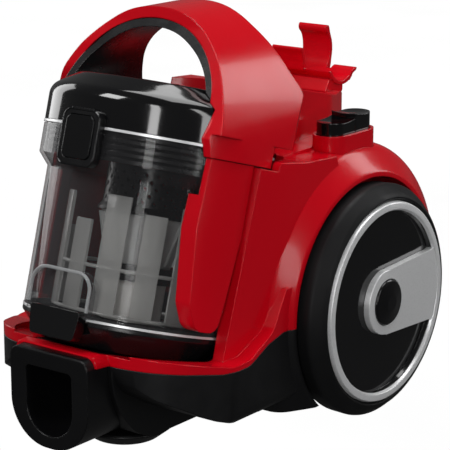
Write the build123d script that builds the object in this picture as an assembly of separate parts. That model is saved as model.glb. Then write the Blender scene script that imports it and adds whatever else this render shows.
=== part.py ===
from build123d import *
import math
import os

os.makedirs("parts", exist_ok=True)

# ---------------------------------------------------------------- driving dimensions (mm)
LENGTH = 365.0            # overall, nozzle socket to rear grille
WIDTH = 257.0             # overall, hub cap to hub cap
HEIGHT = 316.0            # floor to top of carrying handle
Y_FRONT = -LENGTH / 2
Y_REAR = LENGTH / 2

WHEEL_R = 89.5            # big rear wheel, outside radius
WHEEL_Y = 60.5            # axle position
WHEEL_Z = 89.5
TYRE_IN, TYRE_OUT = 92.0, 124.0     # tyre between these X planes
RING_R = 76.5             # silver ring outer radius
HUB_R = 18.0
AXLE_R = 5.0

BIN_Y, BIN_Z = -74.2, 163.0         # point on the dust bin axis
BIN_TILT = 16.4                     # lean of the bin axis, degrees
BIN_R = 77.0              # clear container outside radius
BIN_WALL = 2.4
COLLAR_R = 84.5           # widened collar at the top of the container
LID_R = 84.5
ARM_R = 88.5              # outside radius of the red arms
S_BASE = -95.0            # bottom of bin base along the bin axis
S_LINE = -74.0            # lower edge of clear container
S_COLLAR = 38.0
S_LID = 57.0              # container / lid joint
S_PART = 50.6             # parting plane between lower arm and handle panel
S_TOP = 98.0              # top of lid

FLOOR_Z = 16.0            # underside of chassis tub
WALL = 3.0
HALF_W = 104.0            # body half width at the flank
SPINE_W = 64.0            # rear body half width between the wheels
WELL_R = 93.5             # wheel arch radius
WELL_X = 72.0             # inner wall of wheel well

PORT_W, PORT_Z0, PORT_Z1 = 72.0, 17.0, 88.0
SOCKET_W, SOCKET_Z0, SOCKET_Z1 = 43.0, 26.0, 76.0

CLIP_Y, CLIP_Z, CLIP_R = 140.0, 254.5, 17.5
CLIP_W = 54.0

POD_X, POD_Y, POD_L, POD_W = 80.0, 63.0, 60.0, 28.0
POD_Z0, POD_Z1 = 193.0, 216.0

CASTOR_Y = -100.0

T = math.radians(BIN_TILT)
BIN = Plane(origin=(0, BIN_Y, BIN_Z), x_dir=(1, 0, 0), z_dir=(0, math.sin(T), math.cos(T)))


# ---------------------------------------------------------------- helpers
def world(ly, s):
    """Side view point (y, z) of bin coordinates (back, along axis)."""
    return (BIN_Y + s * math.sin(T) + ly * math.cos(T), BIN_Z + s * math.cos(T) - ly * math.sin(T))


def rounded(pts):
    """Closed face from corner points (u, v, radius)."""
    n = len(pts)
    P = [Vector(p[0], p[1]) for p in pts]
    R = [p[2] if len(p) > 2 else 0 for p in pts]
    ends = []
    for i in range(n):
        a, b, c = P[i - 1], P[i], P[(i + 1) % n]
        if R[i] <= 0:
            ends.append((b, None, b))
            continue
        u, v = (a - b).normalized(), (c - b).normalized()
        ang = math.acos(max(-1, min(1, u.dot(v))))
        d = R[i] / math.tan(ang / 2)
        m = (u + v).normalized()
        cen = b + m * (R[i] / math.sin(ang / 2))
        ends.append((b + u * d, cen - m * R[i], b + v * d))
    for i in range(n):
        j = (i + 1) % n
        if (ends[i][2] - P[i]).length + (ends[j][0] - P[j]).length > (P[i] - P[j]).length + 1e-6:
            raise ValueError("corner radii overlap at %s" % (pts[i],))
    edges = []
    for i in range(n):
        s, mid, e = ends[i]
        if mid is not None:
            edges.append(Edge.make_three_point_arc(s, mid, e))
        nxt = ends[(i + 1) % n][0]
        if (nxt - e).length > 1e-6:
            edges.append(Edge.make_line(e, nxt))
    return Face(Wire(edges))


def smooth(pts):
    """Closed face from one periodic spline."""
    return Face(Wire([Edge.make_spline([Vector(*p) for p in pts], periodic=True)]))


def yz(face, x0, x1):
    return extrude(Plane(origin=(x0, 0, 0), x_dir=(0, 1, 0), z_dir=(1, 0, 0)) * face, x1 - x0, dir=(1, 0, 0))


def xz(face, y0, y1):
    return extrude(Plane(origin=(0, y0, 0), x_dir=(1, 0, 0), z_dir=(0, -1, 0)) * face, y1 - y0, dir=(0, 1, 0))


def xy(face, z0, z1):
    return extrude(Plane(origin=(0, 0, z0)) * face, z1 - z0, dir=(0, 0, 1))


def tube_x(y, z, r, x0, x1):
    return Plane(origin=(x0, y, z), x_dir=(0, 1, 0), z_dir=(1, 0, 0)) * Cylinder(r, x1 - x0, align=(Align.CENTER, Align.CENTER, Align.MIN))


def cyl_z(x, y, r, z0, z1):
    return Pos(x, y, z0) * Cylinder(r, z1 - z0, align=(Align.CENTER, Align.CENTER, Align.MIN))


def cyl_y(x, z, r, y0, y1):
    return Plane(origin=(x, y0, z), x_dir=(1, 0, 0), z_dir=(0, 1, 0)) * Cylinder(r, y1 - y0, align=(Align.CENTER, Align.CENTER, Align.MIN))


def cyl_b(r, s0, s1, x=0, ly=0):
    return BIN * (Pos(x, ly, s0) * Cylinder(r, s1 - s0, align=(Align.CENTER, Align.CENTER, Align.MIN)))


def box(x0, x1, y0, y1, z0, z1):
    return Pos((x0 + x1) / 2, (y0 + y1) / 2, (z0 + z1) / 2) * Box(x1 - x0, y1 - y0, z1 - z0)


def box_b(x0, x1, y0, y1, z0, z1):
    return BIN * box(x0, x1, y0, y1, z0, z1)


def turn_b(pts):
    """Solid of revolution about the bin axis, pts = (r, s, fillet)."""
    f = rounded(pts)
    return BIN * revolve(Plane.XZ * f, Axis.Z, 360)


def turn_x(pts, y, z, side=1):
    """Solid of revolution about an X axis through (y, z), pts = (x, r, fillet)."""
    f = rounded([((p[0] * side, p[1]) + tuple(p[2:])) for p in pts])
    s = revolve(Plane.XY * f, Axis.X, 360)
    return Pos(0, y, z) * s


def mirror_x(s):
    return mirror(s, Plane.YZ)


def one(s):
    """Largest solid of a boolean result."""
    sol = s.solids()
    return max(sol, key=lambda q: q.volume) if len(sol) > 1 else s


PARTS = {}


def keep(name, shape):
    PARTS[name] = shape


# ---------------------------------------------------------------- overall body envelope
SPLIT = [(-200, 83.5), (-160, 80), (-112, 73.5), (-86, 73.5, 20), (-64, 84), (-46, 88.5, 12), (210, 88.5)]


def body(d):
    """Outside of the body shrunk by d: fenders, nose, flanks, rear and spine."""
    fender = turn_x([(30, 40), (30, 118 - d), (92 - d, 118 - d, 16 - d), (106.5 - d, 97 - d, 4), (106.5 - d, 40)], WHEEL_Y, WHEEL_Z)
    arch = yz(rounded([(-70, FLOOR_Z + 5), (-70, 215), (200, 215), (200, 150), (110, 96), (20, FLOOR_Z + 5)]), -120, 120)
    fender = fender & arch
    pw = HALF_W + 0.6 - d
    plan = rounded([(-pw, -104, 46), (-72, -161 + d, 60), (72, -161 + d, 60), (pw, -104, 46), (pw, 40), (-pw, 40)])
    base = xy(plan, FLOOR_Z + d, 120)
    base = base & yz(rounded([(-230, 0), (-230, 112 - d), (-161, 90 - d), (-104, 77 - d), (-84, 78 - d, 8),
                              (-58, 92 - d, 10), (-20, 160), (60, 160), (60, 0)]), -140, 140)
    keel = base & yz(rounded([(-161 + d, 200), (-161 + d, 52, 60), (-128, FLOOR_Z + d, 40), (170, FLOOR_Z + d), (170, 200)]), -40 + d, 40 - d)
    base = base & yz(rounded([(-161 + d, 200), (-161 + d, 64, 30), (-118, 40 + d, 30), (-40, FLOOR_Z + d, 30), (170, FLOOR_Z + d), (170, 200)]), -140, 140)
    base = base & xz(rounded([(-HALF_W + d, 130), (-HALF_W + d, 36 + d, 12), (-60, FLOOR_Z + d, 20), (60, FLOOR_Z + d, 20), (HALF_W - d, 36 + d, 12), (HALF_W - d, 130)]), -200, 200)
    base = base + keel
    flank = yz(rounded([world(0.5 + d, -100), world(0.5 + d, 49.5), world(19.5 + d, 49.5), (-39 + d, 211 - d, 4), (-8, 206 - d),
                        (30, 204 - d), (60, 110), (20, 60), (-60, 60)]), -98, 98)
    flank = flank & xy(rounded([(-89 + d, -105), (-97 + d, -30), (-97 + d, 60), (97 - d, 60), (97 - d, -30), (89 - d, -105)]), 40, 230)
    rear = yz(rounded([(-30, FLOOR_Z + d), (-30, 195), (-8, 206 - d, 6), (60, 206 - d, 20), (118, 199 - d, 60), (168 - d, 140, 40),
                       (Y_REAR - d, 84, 40), (Y_REAR - d, 40, 22), (160, FLOOR_Z + d, 20)]), -80, 80)
    w = SPINE_W + 6 - d
    rear = rear & xy(rounded([(-w, -31), (-w, Y_REAR - d, 34), (w, Y_REAR - d, 34), (w, -31)]), 0, 240)
    spine = yz(rounded([(0, 190), (0, 249 - d), (44, 247 - d, 4), (112, 231 - d), (128, 231 - d), (142 - d, 226 - d, 8), (146 - d, 190)]), -60, 60)
    spine = spine & xy(rounded([(-54 + d, 5), (-47 + d, 95, 30), (-27 + d, 142 - d, 14), (27 - d, 142 - d, 14), (47 - d, 95, 30), (54 - d, 5)]), 180, 260)
    return base + flank + fender + mirror_x(fender) + rear + spine


def bin_room(g):
    """Space the bin assembly sweeps when it lifts out along its axis, grown by g."""
    r = cyl_b(80.5 + g, S_BASE - 1.5 - g, 40)
    r = r + cyl_b(86.5 + g, S_COLLAR - 14 - g, 190)
    r = r + (cyl_b(91.5 + g, 49.5 - g, 190) & box_b(-100, 100, -100, 58 + g, 0, 200))
    return r


def wells(g):
    w = tube_x(WHEEL_Y, WHEEL_Z, WELL_R + g, WELL_X - g, 140)
    return w + mirror_x(w)


def low(z_up=0):
    return yz(rounded([(p[0], p[1] + z_up) + tuple(p[2:]) for p in SPLIT] + [(210, -20), (-200, -20)]), -140, 140)


shell = body(0) - bin_room(0) - wells(0)
cavity = body(WALL) - bin_room(WALL) - wells(WALL)
shell = shell - cavity

# openings through the shell
pod_hole = extrude(Pos(POD_X, POD_Y, 150) * (RectangleRounded(POD_W - 0.2, POD_L - 0.2, 13.8)), 80)
duct_win = box_b(-19, 19, 70, 90, 2, 22)
grille_hole = box(-54, 14, 150, 200, 34, 78)
port_hole = xz(rounded([(-36.1, 88.1, 8), (36.1, 88.1, 8), (36.1, 16.9, 33), (-36.1, 16.9, 33)]), -190, -126)
gland_hole = cyl_y(32, 58, 7.6, 160, 200)
shell = shell - pod_hole - duct_win - grille_hole - port_hole - gland_hole

upper = one(shell - low())
lower = one(shell & low())
visor = xz(rounded([(-37.5, 91.2, 9), (37.5, 91.2, 9), (37.5, 79, 0), (-37.5, 79, 0)]), -174.5, -150) - port_hole - bin_room(0)
visor = visor & yz(rounded([(-176, 70), (-174.5, 89, 2), (-160, 91.2), (-150, 91.2), (-150, 70)]), -60, 60)
upper = one(upper + (visor - low()))
boss_room = tube_x(WHEEL_Y, WHEEL_Z, 13.3, 50, 75)
upper = upper - boss_room - mirror_x(boss_room)

# ---------------------------------------------------------------- chassis details
castor_cup = cyl_z(0, CASTOR_Y, 14, FLOOR_Z, 23.6)
axle_boss = tube_x(WHEEL_Y, WHEEL_Z, 13, 55, WELL_X - 1) - tube_x(WHEEL_Y, WHEEL_Z, AXLE_R + 0.02, 50, 80)
axle_rib = box(55, 60, WHEEL_Y - 5, WHEEL_Y + 5, FLOOR_Z + 1, WHEEL_Z - 12)
lower = lower + castor_cup + axle_boss + mirror_x(axle_boss) + axle_rib + mirror_x(axle_rib)
lower = lower - tube_x(WHEEL_Y, WHEEL_Z, AXLE_R + 0.02, -80, 80) - cyl_z(0, CASTOR_Y, 6.06, 0, 22.8)
SCREWS = [(-30, -68), (30, -68), (-50, 160), (50, 160)]
for x, y in SCREWS:
    post = cyl_z(x, y, 5, FLOOR_Z + 1, 34 if y > 0 else 40)
    lower = lower + post
for x, y in SCREWS:
    lower = lower - cyl_z(x, y, 4.2, 0, FLOOR_Z + 3) - cyl_z(x, y, 1.9, 0, 32)
keep("lower_chassis", lower)
keep("upper_housing", upper)

screws = None
for x, y in SCREWS:
    sc = cyl_z(x, y, 4.0, FLOOR_Z + 0.6, FLOOR_Z + 3) + cyl_z(x, y, 1.85, FLOOR_Z + 2.5, 31)
    sc = sc - box(x - 2.6, x + 2.6, y - 0.5, y + 0.5, 0, FLOOR_Z + 1.8) - box(x - 0.5, x + 0.5, y - 2.6, y + 2.6, 0, FLOOR_Z + 1.8)
    screws = sc if screws is None else screws + sc
keep("chassis_screws", screws)

# ---------------------------------------------------------------- inlet port and duct
pf = rounded([(-36, 88, 8), (36, 88, 8), (36, 17, 33), (-36, 17, 33)])
port = xz(pf, Y_FRONT, -126.2)
socket = xz(rounded([(-21.5, SOCKET_Z1, 4), (21.5, SOCKET_Z1, 4), (21.5, SOCKET_Z0, 21), (-21.5, SOCKET_Z0, 21)]), Y_FRONT - 2, -100)
seat = xz(rounded([(-24, SOCKET_Z1 + 2.5, 5), (24, SOCKET_Z1 + 2.5, 5), (24, SOCKET_Z0 - 2.5, 23), (-24, SOCKET_Z0 - 2.5, 23)]), -134, -126)
port = port - socket - seat
port = port & yz(rounded([(Y_FRONT, 0), (Y_FRONT, 89.4, 3.5), (-126, 88.5), (-126, 0)]), -60, 60)
port = port - bin_room(0)
keep("inlet_port", one(port))
keep("inlet_seal", seat - xz(rounded([(-20.5, SOCKET_Z1 - 1, 4), (20.5, SOCKET_Z1 - 1, 4), (20.5, SOCKET_Z0 + 1, 20), (-20.5, SOCKET_Z0 + 1, 20)]), -150, -100))

duct_out = [(-125.8, 24), (-125.8, 68), world(60, -103.5), world(84.8, -103.5), world(84.8, 26), world(104, 26), world(104, -88, ), (2, 24)]
duct_in = [(-130, 26), (-130, 66.5), world(58, -105.5), world(86.8, -105.5), world(86.8, 24), world(102, 24), world(102, -87), (0, 26)]
duct = yz(rounded(duct_out), -23, 23) - yz(rounded(duct_in), -21, 21) - duct_win
duct = one((duct & body(WALL + 0.2)) - bin_room(WALL + 0.3))
keep("inlet_duct", duct)
seal = (cyl_b(80.3, -2, 26) - cyl_b(77.5, -10, 40)) & box_b(-23, 23, 60, 90, -3, 27)
keep("duct_seal", seal - box_b(-19, 19, 60, 95, 2, 22))

# ---------------------------------------------------------------- motor, fan and exhaust
MY, MZ = 92.0, 64.0
bucket = tube_x(MY, MZ, 40, -42, 30) - tube_x(MY, MZ, 37.5, -40, 40) - tube_x(MY, MZ, 16, -60, 0)
keep("motor_bucket", bucket)
front_plate = (tube_x(MY, MZ, 40, 30.2, 33) - tube_x(MY, MZ, 8.2, 0, 60))
keep("fan_cover", front_plate)
stator = tube_x(MY, MZ, 33, -30, 4) - tube_x(MY, MZ, 20.5, -60, 60)
keep("motor_stator", stator)
rotor = tube_x(MY, MZ, 20, -29, 3) + tube_x(MY, MZ, 4, -44, 30) + tube_x(MY, MZ, 12, -38, -31)
keep("motor_rotor", rotor)
imp = tube_x(MY, MZ, 31, 12, 14) + tube_x(MY, MZ, 9, 14, 26)
for k in range(9):
    blade = Pos(0, MY, MZ) * (Rot(X=40 * k) * box(14, 24, -0.8, 0.8, 8, 30))
    imp = imp + blade
imp = imp - tube_x(MY, MZ, 4.03, 0, 60)
keep("fan_impeller", imp)
keep("motor_mount_rear", (tube_x(MY, MZ, 44, -49, -38) - tube_x(MY, MZ, 40.02, -42.02, 0)) - tube_x(MY, MZ, 22, -60, 0))
keep("motor_mount_front", tube_x(MY, MZ, 44, 26, 37) - tube_x(MY, MZ, 40.02, 0, 33.02) - tube_x(MY, MZ, 30, 0, 60))
brush = Pos(0, MY, MZ) * (box(-37.5, -31.5, -3, 3, 12.3, 30) + box(-37.5, -31.5, -3, 3, -30, -12.3))
keep("carbon_brushes", brush)
gr = box(-53.8, 13.8, Y_REAR - 9, Y_REAR - 0.4, 34.2, 77.8)
for k in range(6):
    gr = gr - box(-50, 10, 150, 200, 38.2 + 6.4 * k, 41.6 + 6.4 * k)
gr = gr + box(-22, -18, Y_REAR - 9, Y_REAR - 0.4, 34.2, 77.8)
gr = gr & body(0)
keep("exhaust_grille", one(gr))
flt = box(-50, 10, Y_REAR - 19, Y_REAR - 9.3, 36, 76)
for k in range(14):
    x = -48 + 4.3 * k
    flt = flt - box(x - 0.9, x + 0.9, Y_REAR - 12, Y_REAR - 5, 38, 74)
flt = flt & body(WALL + 0.2)
keep("exhaust_filter", one(flt))
gland = cyl_y(32, 58, 7.4, 172, Y_REAR - 0.2) + cyl_y(32, 58, 9.5, 172, Y_REAR - WALL - 0.3)
gland = cyl_y(32, 58, 7.4, 172, Y_REAR - 0.2) + (cyl_y(32, 58, 9.5, 172, 185) & body(WALL + 0.3))
keep("cord_gland", one(gland - cyl_y(32, 58, 4.2, 160, 190)))

# ---------------------------------------------------------------- cord reel
RY, RZ = 92.0, 147.0
drum = tube_x(RY, RZ, 22, -20, 20) + tube_x(RY, RZ, 40, -22, -20) + tube_x(RY, RZ, 40, 20, 22) - tube_x(RY, RZ, 6.1, -40, 40)
drum = drum - (tube_x(RY, RZ, 18, 6, 30))
keep("reel_drum", drum)
frame = box(-30, 30, RY - 34, RY + 34, 108.3, 110.6) - tube_x(RY, RZ, 41, -26, 26)
frame = frame + box(-30, -27, RY - 34, RY + 34, 108.3, 190) + tube_x(RY, RZ, 6, -30, 30)
keep("reel_frame", frame)
coil = tube_x(RY, RZ, 17, 8, 18) - tube_x(RY, RZ, 15.6, 7, 19)
coil = coil + (tube_x(RY, RZ, 13.5, 8, 18) - tube_x(RY, RZ, 12.1, 7, 19)) + (tube_x(RY, RZ, 10, 8, 18) - tube_x(RY, RZ, 8.6, 7, 19))
coil = coil + box(8, 18, RY - 16, RY - 8.6, RZ - 0.6, RZ + 0.6)
keep("reel_spring", coil)
# brake rocker: outer arm under the rewind button stem, shoe on the drum rim
LP = (56.0, 77.0, 191.0)
lever = Pos(*LP) * (box(-36, 27, -3.5, 3.5, -1.5, 1.5) + cyl_y(0, 0, 3.6, -3.5, 3.5) - cyl_y(0, 0, 1.55, -9, 9))
shoe = box(20, 24, 73.5, 80.5, 184.8, 190)
lever = lever + shoe
lever = lever - tube_x(RY, RZ, 40.25, 15, 30)
keep("reel_brake", lever)
pin = cyl_y(LP[0], LP[2], 1.5, 68, 86)
frame = frame + pin + box(-30, 59.5, 85, 88, 188.3, 194)
PARTS["reel_frame"] = one(frame & body(WALL + 0.3))

# ---------------------------------------------------------------- buttons
shroud = Pos(POD_X, POD_Y, POD_Z0) * extrude(RectangleRounded(POD_W, POD_L, 13.9), POD_Z1 - POD_Z0)
shroud = shroud - Pos(POD_X, POD_Y, POD_Z0 + 2) * extrude(RectangleRounded(POD_W - 5, POD_L - 5, 11.4), 60)
room = Pos(POD_X, POD_Y, 150) * extrude(RectangleRounded(POD_W + 0.2, POD_L + 0.2, 13.95), 100)
upper = one(PARTS["upper_housing"] - room)
PARTS["upper_housing"] = upper
stem_holes = cyl_z(POD_X, POD_Y - 14, 2.6, 150, 200) + cyl_z(POD_X, POD_Y + 14, 2.6, 150, 200)
foot = tube_x(WHEEL_Y, WHEEL_Z, WELL_R + WALL + 0.3, 60, 120)
shroud = shroud - stem_holes
keep("button_shroud", one(shroud))


def button(y0, y1, hz):
    b = Pos(POD_X, POD_Y, POD_Z0 + 8) * extrude(RectangleRounded(POD_W - 6, POD_L - 6, 10.9), hz - POD_Z0 - 8)
    b = b & box(40, 120, y0, y1, 0, 300)
    return b


WAVE = 0.35
dish_f = Pos(POD_X, POD_Y - 13, 226 + 58) * Sphere(60)
dish_r = Pos(POD_X, POD_Y + 15, 229 + 58) * Sphere(60)
pb = button(0, POD_Y - WAVE, 227) - dish_f
rb = button(POD_Y + WAVE, 200, 230) - dish_r
pb = pb + cyl_z(POD_X, POD_Y - 14, 2.3, 193.4, POD_Z0 + 9)
rb = rb + cyl_z(POD_X, POD_Y + 14, 2.3, 192.9, POD_Z0 + 9)
keep("power_button", one(pb))
keep("rewind_button", one(rb))
keep("power_switch", box(73, 87, 42, 56, 180, 189.4) - foot)

# ---------------------------------------------------------------- tube clip
C = (CLIP_Y, CLIP_Z)


def clip_poly(pts, x0, x1):
    return yz(smooth([(C[0] + p[0], C[1] + p[1]) for p in pts]), x0, x1)


ring = tube_x(C[0], C[1], CLIP_R + 3, -27, 27) - tube_x(C[0], C[1], CLIP_R, -40, 40)
cradle = ring & box(-40, 40, C[0] - 30, C[0] + 13.5, 200, C[1] - 8)
neck = yz(rounded([(C[0] - 24, 228), (C[0] - 17, 240), (C[0] - 10, 240), (C[0] + 1.5, 236.5), (C[0] + 1.5, 226.5, 3), (C[0] - 13, 231.2)]), -26, 26)
front = clip_poly([(-15.2, -8.6), (-17.5, -3), (-18.1, 2), (-20.2, 7.2), (-22.6, 9.4), (-23.9, 8.6), (-22.9, 5.6), (-21.2, 0.5), (-20.6, -4), (-18.4, -10.2)], -25, 3)
tall = clip_poly([(13.5, -11.5), (17.4, -5), (18.6, 2), (18.0, 9), (15.0, 15.5), (12.4, 18.5), (13.2, 22.5), (15.2, 22.8), (17.8, 18), (20.8, 10), (21.6, 2), (20.2, -6.5), (15.6, -13.6)], -25, 2)
wing = clip_poly([(9.5, -14.8), (13, -12), (16.5, -10), (20.0, -9.6), (19.6, -10.9), (16.4, -12.6), (12.5, -16), (9.6, -18.4)], 6, 27)
clip = cradle + front + tall + wing + neck
clip = clip - body(0) - tube_x(C[0], C[1], CLIP_R, -40, 40)
keep("tube_clip", one(clip))

# ---------------------------------------------------------------- wheels
for tag, sg in (("right", 1), ("left", -1)):
    def tx(p):
        return turn_x(p, WHEEL_Y, WHEEL_Z, sg)
    tyre = tx([(TYRE_IN, 80), (TYRE_IN, 84, 3), (98, WHEEL_R - 0.6, 8), (114, WHEEL_R, 6), (121.5, 83, 5), (TYRE_OUT, 79.2, 1.0), (TYRE_OUT - 2, 78), (112.1, 80)])
    keep("tyre_" + tag, tyre)
    rim = tx([(78, 8.2), (78, 12), (100, 14, 6), (115.8, 20, 4), (115.8, 64, 4), (111, 75, 4), (92, 77.2), (92, 79.9), (112, 79.9), (TYRE_OUT - 2.2, 77.9), (TYRE_OUT - 2.2, 77.4), (121.6, 77.4), (121.6, 71), (119.2, 69.5), (119.2, 8.2)])
    keep("wheel_rim_" + tag, rim)
    ringp = tx([(121.8, 77.2), (125.0, 76.2, 0.8), (125.2, 71.2, 0.6), (123, 70), (121.8, 71.0)])
    # key shaped badge: band from the ring to the hub
    plane = Plane(origin=(sg * 119.4, 0, 0), x_dir=(0, 1, 0), z_dir=(1, 0, 0))
    pts = [(WHEEL_Y + 2, WHEEL_Z + 25.2), (WHEEL_Y + 58, WHEEL_Z + 28), (WHEEL_Y + 72, WHEEL_Z + 30), (WHEEL_Y + 72, WHEEL_Z - 30), (WHEEL_Y + 58, WHEEL_Z - 28), (WHEEL_Y - 2, WHEEL_Z - 25.2)]
    band = extrude(plane * rounded(pts), 5.2, dir=(sg, 0, 0))
    hubring = tx([(119.4, 18.2), (119.4, 25.2), (124.4, 25.2, 0.8), (124.8, 18.2)])
    lim = tx([(119.4, 18.2), (119.4, 69.2), (121.8, 70.9), (121.8, 72), (124.9, 72), (124.6, 18.2)])
    band = band & lim
    keep("wheel_trim_" + tag, ringp + hubring + band)
    cap = tx([(119.4, 0), (119.4, 17.9), (126.0, 17.5, 1.5), (128.5, 6, 4), (128.5, 0)])
    keep("hub_cap_" + tag, cap)
    ax = tube_x(WHEEL_Y, WHEEL_Z, AXLE_R, 52, 117) + tube_x(WHEEL_Y, WHEEL_Z, 7.4, 115.2, 117)
    keep("axle_" + tag, ax if sg > 0 else mirror_x(ax))
    bush = tx([(76.0, AXLE_R + 0.05), (76.0, 8.15), (115, 8.15), (115, AXLE_R + 0.05)])
    keep("wheel_bush_" + tag, bush)

# ---------------------------------------------------------------- castor
CW_R, CW_Y = 7.0, CASTOR_Y + 16
dome = Pos(0, CASTOR_Y, 0) * revolve(Plane.XZ * rounded([(0, 3.5), (24, 3.5, 8), (36, 12.8, 1), (34, FLOOR_Z - 1.2), (0, FLOOR_Z - 1.2)]), Axis.Z, 360)
stem = cyl_z(0, CASTOR_Y, 6, FLOOR_Z - 1.5, 22.4)
fork = dome + stem - (box(-8.4, 8.4, CW_Y - 8.2, CW_Y + 8.2, -2, 30) & cyl_z(0, CASTOR_Y, 60, -5, FLOOR_Z)) + stem
fork = one(fork - box(-8.4, 8.4, CW_Y - 8.2, CW_Y + 8.2, -2, 14.4)) + tube_x(CW_Y, CW_R, 1.5, -9, 9)
keep("castor_fork", one(fork))
keep("castor_wheel", tube_x(CW_Y, CW_R, CW_R, -7.6, 7.6) - tube_x(CW_Y, CW_R, 1.56, -9, 9))

# ---------------------------------------------------------------- dust bin
con = turn_b([(BIN_R - BIN_WALL, S_LINE), (BIN_R, S_LINE), (BIN_R, 26), (COLLAR_R, 35, 2), (COLLAR_R, S_LID - 0.4), (COLLAR_R - BIN_WALL, S_LID - 0.4), (COLLAR_R - BIN_WALL, 36), (BIN_R - BIN_WALL, 27)])
con = con - box_b(-19, 19, 60, 90, 2, 22)
frame_out = BIN * (Plane(origin=(0, -BIN_R - 4.2, 0), x_dir=(1, 0, 0), z_dir=(0, 1, 0)) * rounded([(-28, 74), (-28, 42, 14), (28, 42, 14), (28, 74)]))
ufr = extrude(frame_out, 12, dir=tuple(BIN.y_dir))
frame_in = BIN * (Plane(origin=(0, -BIN_R - 9, 0), x_dir=(1, 0, 0), z_dir=(0, 1, 0)) * rounded([(-25.4, 80), (-25.4, 44.6, 12), (25.4, 44.6, 12), (25.4, 80)]))
ufr = ufr - extrude(frame_in, 40, dir=tuple(BIN.y_dir)) - cyl_b(BIN_R - 0.5, -200, 200)
keep("bin_container", one(con + ufr))
keep("bin_trim_ring", turn_b([(74.6, -75.8), (77.6, -75.8), (77.6, -74.1), (74.6, -74.1)]))
base = turn_b([(0, -80.5), (70.5, -80.5), (71.5, -76.9), (73, -76.0), (77.4, -76.0), (77.4, -79, 1), (63, S_BASE, 3), (0, S_BASE)])
base = base - turn_b([(0, -120), (58, -120), (58, -84), (0, -84)])
base = base + turn_b([(0, -94.2), (6, -94.2), (6, -83.9), (0, -83.9)])
lug = box_b(-13, -8, 62, 75.2, -82, -77) + box_b(8, 13, 62, 75.2, -82, -77)
base = base + lug
base = base - box_b(-23.6, 23.6, -90, -69, -92, -75)
keep("bin_base", one(base))
keep("bin_base_seal", turn_b([(71.9, -75.6), (74.2, -75.6), (74.2, -72.5), (72.6, -72.5)]))
catch = extrude(BIN * (Plane(origin=(0, -BIN_R - 6.2, 0), x_dir=(1, 0, 0), z_dir=(0, 1, 0)) * rounded([(-23, 70.5, 1.5), (23, 70.5, 1.5), (20, 91, 4), (-20, 91, 4)])), 9.6, dir=tuple(BIN.y_dir))
catch = catch - cyl_b(BIN_R + 0.95, -77.0, 0)
keep("bin_catch", one(catch))

side_l = rounded([(-12, 50.2), (-12, -70, 4), (-1.2, -70, 4), (-1.2, 50.2)])
side_r = rounded([(-39.5, 50.2), (-41.5, 0), (-37, -52, 12), (-30, -70, 9), (-11, -70, 9), (-7.5, -50, 20), (-1.2, 0), (-1.2, 50.2)])


def arm(sg):
    blk = extrude(BIN * (Plane(origin=(0, 0, 0), x_dir=(0, 1, 0), z_dir=(1, 0, 0)) * (side_r if sg > 0 else side_l)), 120, dir=(1, 0, 0))
    sh = (cyl_b(ARM_R, -90, S_PART - 0.3) - cyl_b(COLLAR_R + 0.02, 24, 60) - cyl_b(BIN_R + 0.02, -100, 60)) & blk
    return sh if sg > 0 else mirror_x(sh)


keep("bin_arm_right", one(arm(1)))
keep("bin_arm_left", one(arm(-1)))

# ---------------------------------------------------------------- lid, filter and cyclone
lid = turn_b([(0, S_TOP), (66, S_TOP - 1, 6), (LID_R, S_TOP - 14, 12), (LID_R, S_LID + 2.2), (LID_R - 3, S_LID + 2.2), (LID_R - 3, S_TOP - 16, 8), (62, S_TOP - 4, 4), (0, S_TOP - 3)])
keep("lid", lid)
keep("lid_trim", turn_b([(LID_R - 4, S_LID + 0.2), (LID_R + 0.5, S_LID + 0.2), (LID_R + 0.5, S_LID + 2.0), (LID_R - 4, S_LID + 2.0)]))
band = [(70, 58.8), (70, 36.4), (80.6, 36.4), (80.6, 39.4), (79.2, 40.4), (80.8, 41.4), (80.8, 43.9), (79.2, 44.9), (80.8, 45.9), (80.8, 48.4), (79.2, 49.4), (80.8, 50.4), (80.8, 53), (79.4, 54), (79.4, 58.8)]
keep("filter_carrier", turn_b(band) + turn_b([(30, 36.4), (70.5, 36.4), (70.5, 38.9), (30, 38.9)]))
pleat = turn_b([(20, 40), (66, 40), (66, 62), (20, 62)])
for k in range(24):
    pleat = pleat - BIN * (Rot(Z=15 * k) * box(24, 62, -1.6, 1.6, 44, 80))
keep("lid_filter", pleat)
shroud_c = turn_b([(33.5, 36.2), (33.5, 8), (36, 4), (36, 2), (31.5, 2), (31.5, 36.2)])
for row in range(5):
    for k in range(24):
        shroud_c = shroud_c - BIN * (Rot(Z=15 * k + 7.5 * (row % 2)) * Pos(33, 0, 11 + 5 * row) * Rot(Y=90) * Cylinder(1.5, 8))
keep("cyclone_shroud", shroud_c)
cone = turn_b([(30, 1.8), (33, 1.8), (24, -34), (21, -34)])
for k in range(12):
    cone = cone + BIN * (Rot(Z=30 * k) * extrude(Plane.XZ * rounded([(29.5, 0), (35, 0), (26, -32), (22, -32)]), 1, both=True))
keep("cyclone_cone", one(cone))
keep("cyclone_collar", turn_b([(19, -34.2), (27, -34.2), (27, -46), (19, -46)]))
keep("dust_tube", turn_b([(18.6, -46.2), (23, -46.2), (23, -75.5), (20.4, -75.5), (20.4, -48.5), (18.6, -48.5)]))

# carrying handle: arch over the lid that runs down into the upper arm panels
def arch_face(pts):
    """Face between a smooth arch and its straight foot, from its right half listed foot to crown."""
    p = [(-x, z) for x, z in pts[:-1]] + [pts[-1]] + [(x, z) for x, z in reversed(pts[:-1])]
    e = [Edge.make_spline([Vector(*q) for q in p[1:-1]]), Edge.make_line(Vector(*p[-2]), Vector(*p[-1])),
         Edge.make_line(Vector(*p[-1]), Vector(*p[0])), Edge.make_line(Vector(*p[0]), Vector(*p[1]))]
    return Face(Wire(e))


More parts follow.
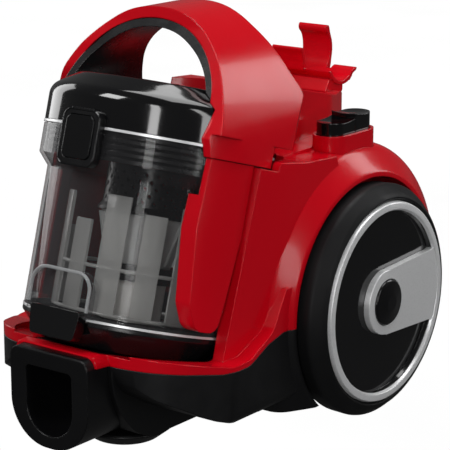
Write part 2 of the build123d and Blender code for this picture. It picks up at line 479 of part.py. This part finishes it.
O_ARCH = [(90, 150), (90, 205), (89.2, 222), (87.6, 238), (83, 253), (75.5, 268), (64, 284.5), (47.5, 300), (25, 312.5), (0, HEIGHT)]
I_ARCH = [(71, 150), (71, 232), (70.2, 250), (66.5, 266), (57.5, 281), (43, 295), (23, 304.8), (0, 308.2)]
G_ARCH = [(65, 150), (65, 232), (64.3, 249), (60.8, 264), (52, 278), (39, 289.4), (21, 298.8), (0, 302)]


arch = xz(arch_face(O_ARCH), -130, 60) - xz(arch_face(I_ARCH), -140, 80)
back = [(-52, 330), (-8, 330), (-7, 300, 30), (0, 268, 25), (5, 256, 8), (5.5, 245, 8), world(47, 66.5), world(20, 66.5), world(20, S_PART)]
side_h = rounded([world(-42, S_PART), (-99.5, 236), (-91, 250), (-81, 267, 30), (-69.5, 286, 30), (-60, 304, 20)] + back)
side_hl = rounded([world(-18, S_PART), (-71, 236), (-74, 256), (-76, 267, 20), (-69.5, 286, 20), (-60, 304, 20)] + back)
handle = arch & (yz(side_h, 0, 140) + yz(side_hl, -140, 0))
lower_part = cyl_b(90.5, 40, 66.6) + cyl_b(98, 66.5, 130) + box(-100, 100, -150, 80, 252, 340)
handle = handle & lower_part
LID_SPACE = turn_b([(0, 20), (LID_R + 0.05, 20), (LID_R + 0.05, S_TOP - 14.2), (66.2, S_TOP - 0.6), (0, S_TOP + 0.2)])
handle = handle - cyl_b(LID_R + 0.7, 20, S_LID + 2.4) - LID_SPACE
grip = xz(arch_face(I_ARCH), -130, 60) - xz(arch_face(G_ARCH), -140, 80)
grip = grip & yz(rounded([(-98, 236), (-79.5, 266), (-68, 286, 20), (-56, 312), (-13, 312), (-8.5, 285, 20), (-1.5, 262), (3, 236)]), -140, 140)
grip = grip - LID_SPACE
keep("carry_handle", one(handle))
keep("handle_grip", one(grip))

# lid latch at the front
lf = extrude(BIN * (Plane(origin=(0, -LID_R - 5.2, 0), x_dir=(1, 0, 0), z_dir=(0, 1, 0)) * rounded([(-17, -69, 7), (17, -69, 7), (17, -29, 7), (-17, -29, 7)])), 14, dir=tuple(BIN.y_dir))
lf = lf - cyl_b(COLLAR_R + 0.6, -50, 200)
lb = extrude(BIN * (Plane(origin=(0, -LID_R - 8, 0), x_dir=(1, 0, 0), z_dir=(0, 1, 0)) * rounded([(-13, -65, 5), (13, -65, 5), (13, -34, 5), (-13, -34, 5)])), 30, dir=tuple(BIN.y_dir))
lf = lf - lb
lf = lf + extrude(BIN * (Plane(origin=(0, -LID_R - 5.2, 0), x_dir=(1, 0, 0), z_dir=(0, 1, 0)) * rounded([(-10, -70), (10, -70), (10, -66), (-10, -66)])), 5, dir=tuple(BIN.y_dir))
keep("latch_frame", one(lf))
lbt = extrude(BIN * (Plane(origin=(0, -LID_R - 6.0, 0), x_dir=(1, 0, 0), z_dir=(0, 1, 0)) * rounded([(-12.5, -64.5, 4.6), (12.5, -64.5, 4.6), (12.5, -34.5, 4.6), (-12.5, -34.5, 4.6)])), 3.4, dir=tuple(BIN.y_dir))
keep("lid_latch", lbt)

# ---------------------------------------------------------------- write
for name, shape in PARTS.items():
    export_step(shape if isinstance(shape, (Solid, Compound)) else Compound(children=[shape]), "parts/%s.step" % name)
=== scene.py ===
import math

import bmesh
import bpy
from mathutils import Matrix, Vector


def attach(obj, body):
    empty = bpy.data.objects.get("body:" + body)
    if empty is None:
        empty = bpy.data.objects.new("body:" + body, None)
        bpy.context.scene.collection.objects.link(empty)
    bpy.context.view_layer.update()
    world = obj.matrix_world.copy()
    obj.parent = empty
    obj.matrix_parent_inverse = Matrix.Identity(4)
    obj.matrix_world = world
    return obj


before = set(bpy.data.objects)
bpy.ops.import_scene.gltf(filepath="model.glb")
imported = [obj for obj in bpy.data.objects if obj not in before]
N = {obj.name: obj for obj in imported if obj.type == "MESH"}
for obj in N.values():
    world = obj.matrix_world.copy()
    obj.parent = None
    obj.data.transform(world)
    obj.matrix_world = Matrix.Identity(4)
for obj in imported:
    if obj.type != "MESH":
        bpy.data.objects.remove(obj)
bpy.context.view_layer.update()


# ------------------------------------------------------------------ camera
def set_camera():
    az, el = math.radians(37.37), math.radians(14.48)
    back = Vector((math.sin(az) * math.cos(el), -math.cos(az) * math.cos(el), math.sin(el)))
    right = Vector((math.cos(az), math.sin(az), 0))
    up = back.cross(right)
    target = Vector((0.03766, -0.02829, 0.1543))
    cam = bpy.data.objects.new("camera", bpy.data.cameras.new("camera"))
    bpy.context.scene.collection.objects.link(cam)
    cam.data.lens = 156.0
    cam.data.sensor_width = 36.0
    cam.data.dof.use_dof = False
    cam.data.clip_start = 0.05
    m = Matrix((right, up, back)).transposed().to_4x4()
    m.translation = target + back * 1.4385
    cam.matrix_world = m
    bpy.context.scene.camera = cam


set_camera()


# ------------------------------------------------------------------ material helpers
def new_mat(name):
    m = bpy.data.materials.new(name)
    m.use_nodes = True
    nt = m.node_tree
    nt.nodes.clear()
    out = nt.nodes.new("ShaderNodeOutputMaterial")
    bsdf = nt.nodes.new("ShaderNodeBsdfPrincipled")
    nt.links.new(bsdf.outputs[0], out.inputs[0])
    return m, nt, bsdf, out


def noise(nt, scale, detail=3.0, rough=0.5, stretch=None, coord="Object"):
    tc = nt.nodes.new("ShaderNodeTexCoord")
    mp = nt.nodes.new("ShaderNodeMapping")
    if stretch:
        mp.inputs["Scale"].default_value = stretch
    nt.links.new(tc.outputs[coord], mp.inputs[0])
    n = nt.nodes.new("ShaderNodeTexNoise")
    n.inputs["Scale"].default_value = scale
    n.inputs["Detail"].default_value = detail
    n.inputs["Roughness"].default_value = rough
    nt.links.new(mp.outputs[0], n.inputs["Vector"])
    return n


def ramp(nt, src, a, b, lo=0.3, hi=0.7):
    r = nt.nodes.new("ShaderNodeValToRGB")
    r.color_ramp.elements[0].position = lo
    r.color_ramp.elements[1].position = hi
    r.color_ramp.elements[0].color = (*a, 1) if len(a) == 3 else a
    r.color_ramp.elements[1].color = (*b, 1) if len(b) == 3 else b
    nt.links.new(src, r.inputs[0])
    return r


def rough_range(nt, src, bsdf, lo, hi):
    mr = nt.nodes.new("ShaderNodeMapRange")
    mr.inputs["From Min"].default_value = 0.3
    mr.inputs["From Max"].default_value = 0.7
    mr.inputs["To Min"].default_value = lo
    mr.inputs["To Max"].default_value = hi
    nt.links.new(src, mr.inputs[0])
    nt.links.new(mr.outputs[0], bsdf.inputs["Roughness"])


def bump(nt, src, bsdf, strength, dist, edge=0.0):
    b = nt.nodes.new("ShaderNodeBump")
    b.inputs["Strength"].default_value = strength
    b.inputs["Distance"].default_value = dist
    nt.links.new(src, b.inputs["Height"])
    if edge > 0:
        e = nt.nodes.new("ShaderNodeBevel")
        e.samples = 6
        e.inputs["Radius"].default_value = edge
        nt.links.new(e.outputs[0], b.inputs["Normal"])
    nt.links.new(b.outputs[0], bsdf.inputs["Normal"])
    return b


def plastic(name, dark, light, r_lo, r_hi, grain, depth, edge=0.0006, coat=0.0, var=6.0, spec=0.5):
    """Moulded plastic: slow colour drift, roughness variation, fine moulding grain, rounded edges."""
    m, nt, bsdf, out = new_mat(name)
    big = noise(nt, var, 4.0)
    col = ramp(nt, big.outputs["Fac"], dark, light)
    nt.links.new(col.outputs[0], bsdf.inputs["Base Color"])
    mid = noise(nt, var * 9, 5.0, 0.6)
    rough_range(nt, mid.outputs["Fac"], bsdf, r_lo, r_hi)
    fine = noise(nt, grain, 2.0, 0.5)
    bump(nt, fine.outputs["Fac"], bsdf, 0.5, depth, edge)
    bsdf.inputs["Specular IOR Level"].default_value = spec
    bsdf.inputs["Coat Weight"].default_value = coat
    bsdf.inputs["Coat Roughness"].default_value = 0.04
    return m


def metal(name, dark, light, r_lo, r_hi, stretch, depth=0.00002, edge=0.0004, metallic=1.0):
    m, nt, bsdf, out = new_mat(name)
    n = noise(nt, 60.0, 6.0, 0.65, stretch)
    col = ramp(nt, n.outputs["Fac"], dark, light)
    nt.links.new(col.outputs[0], bsdf.inputs["Base Color"])
    rough_range(nt, n.outputs["Fac"], bsdf, r_lo, r_hi)
    bump(nt, n.outputs["Fac"], bsdf, 0.3, depth, edge)
    bsdf.inputs["Metallic"].default_value = metallic
    return m


def clear(name, tint, refl=0.10, rough=0.03):
    """Clear moulded polycarbonate: see-through, with a sheen that grows towards the edges and faint flow marks."""
    m, nt, bsdf, out = new_mat(name)
    n = noise(nt, 14.0, 4.0, 0.55, (1, 1, 0.25))
    col = ramp(nt, n.outputs["Fac"], tuple(c * 0.93 for c in tint), tint)
    tr = nt.nodes.new("ShaderNodeBsdfTransparent")
    nt.links.new(col.outputs[0], tr.inputs["Color"])
    bsdf.inputs["Base Color"].default_value = (0.10, 0.10, 0.105, 1)
    rough_range(nt, n.outputs["Fac"], bsdf, rough, rough + 0.03)
    bump(nt, n.outputs["Fac"], bsdf, 0.25, 0.0002, 0.0)
    bsdf.inputs["Specular IOR Level"].default_value = 0.9
    lw = nt.nodes.new("ShaderNodeLayerWeight")
    lw.inputs["Blend"].default_value = 0.28
    mr = nt.nodes.new("ShaderNodeMapRange")
    mr.inputs["From Min"].default_value = 0.0
    mr.inputs["From Max"].default_value = 1.0
    mr.inputs["To Min"].default_value = refl
    mr.inputs["To Max"].default_value = 0.75
    nt.links.new(lw.outputs["Facing"], mr.inputs[0])
    mix = nt.nodes.new("ShaderNodeMixShader")
    nt.links.new(mr.outputs[0], mix.inputs[0])
    nt.links.new(tr.outputs[0], mix.inputs[1])
    nt.links.new(bsdf.outputs[0], mix.inputs[2])
    nt.links.new(mix.outputs[0], out.inputs[0])
    return m


RED = plastic("red_gloss", (0.54, 0.0008, 0.007), (0.62, 0.0015, 0.010), 0.15, 0.22, 900, 0.00003, 0.0014, 0.12, 5.0, 0.24)
BLACK_MATTE = plastic("black_matte", (0.0035, 0.0035, 0.004), (0.006, 0.006, 0.0065), 0.36, 0.48, 1600, 0.00010, 0.0014, 0.0, 8.0, 0.32)
PORT_BLACK = plastic("port_black", (0.003, 0.003, 0.0035), (0.005, 0.005, 0.0055), 0.26, 0.36, 1500, 0.00007, 0.0020, 0.0, 8.0, 0.4)
BLACK_GLOSS = plastic("black_gloss", (0.002, 0.002, 0.0025), (0.004, 0.004, 0.0045), 0.07, 0.12, 700, 0.00001, 0.0008, 0.3, 6.0, 0.5)
BLACK_SATIN = plastic("black_satin", (0.004, 0.004, 0.0045), (0.007, 0.007, 0.008), 0.22, 0.3, 1200, 0.00004, 0.0008, 0.0, 6.0, 0.5)
TYRE = plastic("tyre_rubber", (0.006, 0.006, 0.0065), (0.010, 0.010, 0.0105), 0.42, 0.55, 1400, 0.00010, 0.0018, 0.0, 10.0, 0.16)
SEAL = plastic("seal_rubber", (0.01, 0.01, 0.01), (0.02, 0.02, 0.02), 0.6, 0.75, 1200, 0.0001, 0.0005)
GREY = plastic("cyclone_grey", (0.50, 0.505, 0.50), (0.62, 0.62, 0.61), 0.25, 0.36, 900, 0.00004, 0.0006)
PALE = plastic("pale_tube", (0.70, 0.68, 0.65), (0.80, 0.78, 0.75), 0.3, 0.4, 900, 0.00003, 0.0006)
INNER = plastic("inner_plastic", (0.30, 0.30, 0.31), (0.40, 0.40, 0.41), 0.45, 0.6, 900, 0.00006, 0.0004)
PAPER = plastic("filter_paper", (0.72, 0.73, 0.70), (0.85, 0.86, 0.83), 0.8, 0.95, 500, 0.0004, 0.0)
SILVER = metal("satin_silver", (0.78, 0.785, 0.795), (0.92, 0.925, 0.93), 0.26, 0.36, (1, 30, 30), metallic=0.35)
STEEL = metal("ground_steel", (0.42, 0.42, 0.43), (0.6, 0.6, 0.61), 0.18, 0.35, (1, 40, 40))
COPPER = metal("copper_winding", (0.5, 0.22, 0.1), (0.75, 0.36, 0.18), 0.3, 0.45, (40, 1, 1))
ALU = metal("cast_aluminium", (0.5, 0.5, 0.51), (0.65, 0.65, 0.66), 0.35, 0.5, (1, 1, 1), 0.00008)
CLEAR = clear("clear_smoke", (0.93, 0.93, 0.93), 0.07, 0.02)

LOOK = {
    "upper_housing": RED, "button_shroud": RED, "tube_clip": RED, "bin_arm_left": RED, "bin_arm_right": RED, "carry_handle": RED,
    "lower_chassis": BLACK_MATTE, "castor_fork": BLACK_MATTE, "exhaust_grille": BLACK_MATTE, "cord_gland": BLACK_MATTE,
    "inlet_port": PORT_BLACK, "lid": BLACK_GLOSS, "handle_grip": BLACK_SATIN, "power_button": BLACK_GLOSS, "rewind_button": BLACK_GLOSS,
    "bin_base": BLACK_SATIN, "bin_catch": BLACK_GLOSS, "hub_cap_left": BLACK_GLOSS, "hub_cap_right": BLACK_GLOSS,
    "wheel_rim_left": BLACK_GLOSS, "wheel_rim_right": BLACK_GLOSS, "latch_frame": BLACK_SATIN, "lid_latch": BLACK_GLOSS,
    "bin_container": CLEAR, "tyre_left": TYRE, "tyre_right": TYRE, "wheel_trim_left": SILVER, "wheel_trim_right": SILVER,
    "bin_trim_ring": SILVER, "lid_trim": SILVER, "filter_carrier": BLACK_SATIN, "cyclone_shroud": BLACK_SATIN, "cyclone_collar": BLACK_SATIN,
    "cyclone_cone": GREY, "dust_tube": PALE, "lid_filter": PAPER, "exhaust_filter": PAPER, "inlet_seal": SEAL, "duct_seal": SEAL,
    "bin_base_seal": SEAL, "motor_mount_front": SEAL, "motor_mount_rear": SEAL, "axle_left": STEEL, "axle_right": STEEL,
    "chassis_screws": STEEL, "motor_rotor": STEEL, "motor_stator": COPPER, "reel_spring": STEEL, "fan_impeller": ALU,
    "carbon_brushes": BLACK_MATTE, "castor_wheel": BLACK_MATTE,
}


def finish_cad(o, mat):
    o.data.materials.clear()
    o.data.materials.append(mat)
    for p in o.data.polygons:
        p.use_smooth = True
        p.material_index = 0
    w = o.modifiers.new("weld", "WELD")
    w.merge_threshold = 0.00001
    e = o.modifiers.new("split", "EDGE_SPLIT")
    e.split_angle = math.radians(28)


for name, o in N.items():
    finish_cad(o, LOOK.get(name, INNER))


# ------------------------------------------------------------------ fine pieces on the dust bin and lid
TILT = math.radians(16.4)
BIN_O = Vector((0, -0.0742, 0.163))
BIN_BACK = Vector((0, math.cos(TILT), -math.sin(TILT)))
BIN_UP = Vector((0, math.sin(TILT), math.cos(TILT)))


def bw(x, back, up):
    """Point in bin coordinates (mm: across, back, along the axis) in the row frame."""
    return BIN_O + Vector((x / 1000, 0, 0)) + BIN_BACK * (back / 1000) + BIN_UP * (up / 1000)


def piece(name, bm, mat, body):
    me = bpy.data.meshes.new(name)
    bmesh.ops.recalc_face_normals(bm, faces=bm.faces)
    bm.to_mesh(me)
    bm.free()
    me.materials.append(mat)
    for poly in me.polygons:
        poly.use_smooth = True
    o = bpy.data.objects.new(name, me)
    bpy.context.scene.collection.objects.link(o)
    e = o.modifiers.new("split", "EDGE_SPLIT")
    e.split_angle = math.radians(40)
    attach(o, body)
    return o


def loft(bm, rings):
    """Closed solid through rings of points."""
    vs = [[bm.verts.new(p) for p in ring] for ring in rings]
    n = len(vs[0])
    for a, b in zip(vs, vs[1:]):
        for i in range(n):
            bm.faces.new((a[i], a[(i + 1) % n], b[(i + 1) % n], b[i]))
    bm.faces.new(vs[0][::-1])
    bm.faces.new(vs[-1])


def rod(bm, path, r, n=10, closed=False):
    """Round wire along a path of points."""
    rings = []
    m = len(path)
    for i, q in enumerate(path):
        a = path[(i - 1) % m] if closed or i else q
        b = path[(i + 1) % m] if closed or i < m - 1 else q
        t = (b - a).normalized()
        side = t.cross(BIN_BACK if abs(t.dot(BIN_BACK)) < 0.9 else BIN_UP).normalized()
        other = t.cross(side)
        rings.append([q + side * (r * math.cos(2 * math.pi * k / n)) + other * (r * math.sin(2 * math.pi * k / n)) for k in range(n)])
    if not closed:
        loft(bm, rings)
        return
    vs = [[bm.verts.new(p) for p in ring] for ring in rings]
    for i in range(m):
        a, b = vs[i], vs[(i + 1) % m]
        for k in range(n):
            bm.faces.new((a[k], a[(k + 1) % n], b[(k + 1) % n], b[k]))


def corner_path(w, lo, hi, rad, back, closed):
    """Rounded outline in the front plane of the bin; open at the bottom unless closed."""
    pts = []
    cs = [(-w + rad, hi - rad, 180, 90), (w - rad, hi - rad, 90, 0)]
    if closed:
        cs += [(w - rad, lo + rad, 0, -90), (-w + rad, lo + rad, -90, -180)]
    else:
        pts.append(bw(-w, back, lo))
    for cx, cz, a0, a1 in cs:
        for k in range(7):
            a = math.radians(a0 + (a1 - a0) * k / 6)
            pts.append(bw(cx + rad * math.cos(a), back, cz + rad * math.sin(a)))
    if not closed:
        pts.append(bw(w, back, lo))
    return pts


GUIDE = clear("guide_frosted", (0.90, 0.90, 0.89), 0.38, 0.12)
GUIDE.node_tree.nodes["Principled BSDF"].inputs["Base Color"].default_value = (0.90, 0.90, 0.88, 1)
# painted highlight: light grey clear material for the pull frame bead, standing in for the bright edge highlight of the
# clear frame
PULL_FRAME_HIGHLIGHT_MAT = clear("pull_frame_painted_highlight_mat", (0.90, 0.90, 0.90), 0.38, 0.03)
PULL_FRAME_HIGHLIGHT_MAT.node_tree.nodes["Principled BSDF"].inputs["Base Color"].default_value = (0.55, 0.56, 0.57, 1)

# swirl guides that stand round the cyclone inside the bin
bm = bmesh.new()
for k, (deg, top, half) in enumerate([(-160, -14, 9), (-128, 12, 8), (-100, -6, 8), (-72, 14, 9), (-44, 4, 8), (-16, 12, 9), (30, 10, 8), (90, 12, 8), (150, 10, 8)]):
    rings = []
    for up in (-70.5, -69.5, top - 1, top):
        inset = 0.5 if up in (-70.5, top) else 0.0
        ring = []
        for j in range(7):
            a = math.radians(deg - half + 2 * half * j / 6)
            ring.append(bw((58 - inset) * math.cos(a), (58 - inset) * math.sin(a), up))
        for j in range(7):
            a = math.radians(deg + half - 2 * half * j / 6)
            ring.append(bw((55.6 + inset) * math.cos(a), (55.6 + inset) * math.sin(a), up))
        rings.append(ring)
    loft(bm, rings)
piece("swirl_guides", bm, GUIDE, "bin")
bm = bmesh.new()
for up, r in ((-70.5, 56.8), (-38, 56.8)):
    rod(bm, [bw(r * math.cos(math.radians(9 * k)), r * math.sin(math.radians(9 * k)), up) for k in range(40)], 0.0014, 8, True)
piece("swirl_guide_hoops", bm, GUIDE, "bin")
# light grey bead round the clear pull frame, a painted highlight standing in for the bright edge of the clear frame;
# and a gloss black bead round the lid latch
bm = bmesh.new()
rod(bm, corner_path(26.7, -69.5, -43.3, 12, -81.4, False), 0.0013)
piece("pull_frame_painted_highlight", bm, PULL_FRAME_HIGHLIGHT_MAT, "bin")
bm = bmesh.new()
rod(bm, corner_path(16.3, 29.7, 68.3, 6.4, -89.6, True), 0.0006, 8, True)
piece("latch_frame_bead", bm, BLACK_GLOSS, "lid_unit")


# ------------------------------------------------------------------ stage and light
def area(name, loc, aim, w, h, power, col=(1, 1, 1)):
    d = bpy.data.lights.new(name, "AREA")
    d.shape = "RECTANGLE"
    d.size, d.size_y = w, h
    d.energy = power
    d.color = col
    o = bpy.data.objects.new(name, d)
    bpy.context.scene.collection.objects.link(o)
    o.location = loc
    o.rotation_euler = (Vector(aim) - Vector(loc)).to_track_quat("-Z", "Y").to_euler()
    return o


def stage():
    me = bpy.data.meshes.new("floor")
    bm = bmesh.new()
    bmesh.ops.create_grid(bm, x_segments=8, y_segments=8, size=4.0)
    bm.to_mesh(me)
    bm.free()
    floor = bpy.data.objects.new("floor", me)
    bpy.context.scene.collection.objects.link(floor)
    m, nt, bsdf, out = new_mat("floor_white")
    n = noise(nt, 3.0)
    c = ramp(nt, n.outputs["Fac"], (0.93, 0.93, 0.93), (0.96, 0.96, 0.96))
    nt.links.new(c.outputs[0], bsdf.inputs["Base Color"])
    bsdf.inputs["Roughness"].default_value = 0.9
    glow = nt.nodes.new("ShaderNodeEmission")
    nt.links.new(c.outputs[0], glow.inputs[0])
    lp = nt.nodes.new("ShaderNodeLightPath")
    dim = nt.nodes.new("ShaderNodeMapRange")
    dim.inputs["To Min"].default_value = 0.06
    dim.inputs["To Max"].default_value = 1.06
    nt.links.new(lp.outputs["Is Camera Ray"], dim.inputs[0])
    nt.links.new(dim.outputs[0], glow.inputs["Strength"])
    nt.links.new(glow.outputs[0], out.inputs[0])
    me.materials.append(m)
    w = bpy.data.worlds.new("world")
    w.use_nodes = True
    wt = w.node_tree
    back = wt.nodes["Background"]
    lp = wt.nodes.new("ShaderNodeLightPath")
    sw = wt.nodes.new("ShaderNodeMapRange")
    sw.inputs["To Min"].default_value = 0.10
    sw.inputs["To Max"].default_value = 1.0
    wt.links.new(lp.outputs["Is Camera Ray"], sw.inputs[0])
    wt.links.new(sw.outputs[0], back.inputs[1])
    back.inputs[0].default_value = (1, 1, 1, 1)
    bpy.context.scene.world = w
    bpy.context.scene.view_settings.view_transform = "Standard"
    area("front_strip", (1.10, -1.83, 0.72), (0, -0.05, 0.17), 0.34, 1.5, 13)
    area("left_box", (-1.75, 0.10, 0.60), (0, -0.02, 0.15), 0.8, 1.3, 9)
    area("key", (-0.7, -1.7, 1.9), (0, 0, 0.12), 0.9, 0.9, 26)
    area("strip_right", (1.75, -0.30, 0.85), (0, 0.02, 0.15), 0.3, 1.4, 7)
    area("top", (0.1, 0.5, 2.0), (0, 0.05, 0.1), 1.5, 1.1, 22)
    area("rim", (0.9, 1.5, 1.0), (0, 0.0, 0.2), 0.4, 1.2, 8)


stage()
